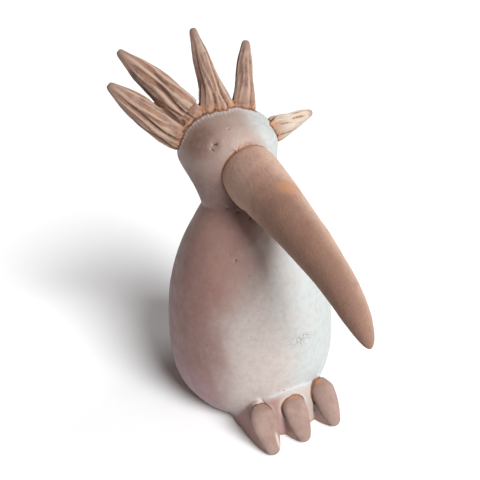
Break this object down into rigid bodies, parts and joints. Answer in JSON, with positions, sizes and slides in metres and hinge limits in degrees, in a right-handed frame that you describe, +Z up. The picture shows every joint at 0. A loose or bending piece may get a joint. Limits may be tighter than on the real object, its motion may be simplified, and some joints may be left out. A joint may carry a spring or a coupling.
{
  "type": "ceramic bird sculpture",
  "caption": "Hand-built stoneware bird that stands on a flat base: egg body, long drooping beak, crest of furrowed horns, clawed foot, satin white glaze.",
  "frame": {"origin": "centre of the body's flat underside, on the surface that the bird stands on", "axes": "+Z up; the bird faces -Y and its own left side is +X"},
  "size_m": [0.1815, 0.2648, 0.3202],
  "materials": {
    "glazed_stoneware": "satin off-white glaze on body, head and foot, thin and pinkish in the hollows; beak, crest and claws bare buff clay"
  },
  "bodies": {
    "root": {"ceramic_bird": "glazed_stoneware"}
  },
  "joints": []
}
